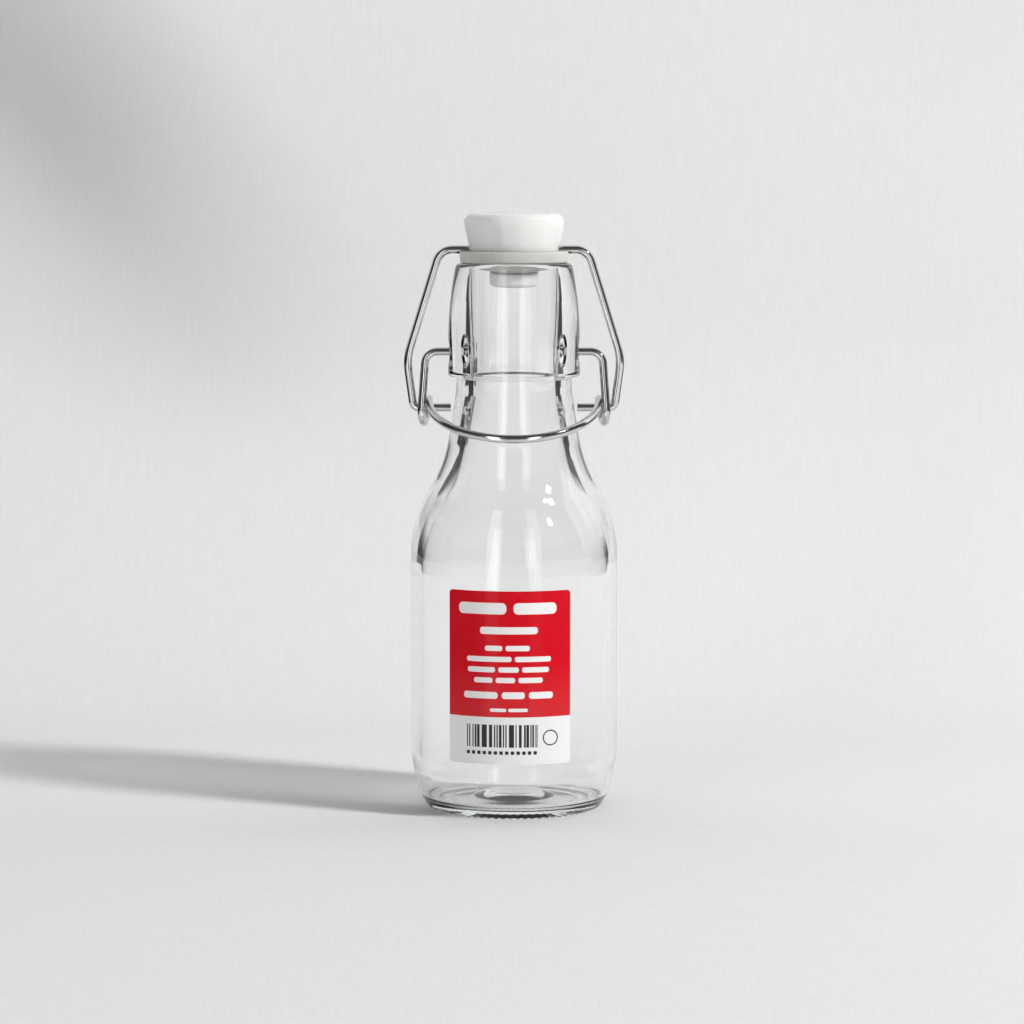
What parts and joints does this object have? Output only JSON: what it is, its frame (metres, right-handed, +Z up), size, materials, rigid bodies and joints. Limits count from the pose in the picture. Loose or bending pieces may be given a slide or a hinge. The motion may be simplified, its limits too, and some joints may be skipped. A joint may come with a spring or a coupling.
{
  "type": "swing-top glass bottle",
  "caption": "Small empty clear-glass oil or vinegar bottle with a label, a gasketed stopper and a wire swing closure.",
  "frame": {"origin": "centre of the base, on the bottle's axis, in the plane that it stands on", "axes": "+Z up along the bottle; the label and the lever's loop face -Y; the lever's pivots lie along X"},
  "size_m": [0.0528, 0.0501, 0.1431],
  "materials": {
    "clear_glass": "clear, smooth moulded",
    "label_paper": "coated, printed in red and white",
    "white_plastic": "smooth, faintly translucent",
    "silicone": "satin, translucent grey",
    "steel_wire": "polished drawn wire"
  },
  "bodies": {
    "bottle": {"bottle_glass": "clear_glass", "front_label": "label_paper"},
    "lever": {"lever_wire": "steel_wire"},
    "bail": {"bail_wire": "steel_wire"},
    "closure": {"stopper": "white_plastic", "gasket": "silicone"}
  },
  "joints": [
    {"name": "lever_swing", "type": "hinge", "parent": "bottle", "child": "lever", "pos_m": [0, 0, 0.11], "axis": [-1, 0, 0], "range_deg": [0, 150]},
    {"name": "bail_swing", "type": "hinge", "parent": "lever", "child": "bail", "pos_m": [0, 0, 0.09655], "axis": [-1, 0, 0], "range_deg": [-97.5, 0]},
    {"name": "stopper_swing", "type": "hinge", "parent": "bail", "child": "closure", "pos_m": [0, 0, 0.13442], "axis": [-1, 0, 0], "range_deg": [-52.5, 0]}
  ],
  "couplings": [
    {"joint": "bail_swing", "follows": "lever_swing", "ratio": -0.65},
    {"joint": "stopper_swing", "follows": "lever_swing", "ratio": -0.35}
  ]
}
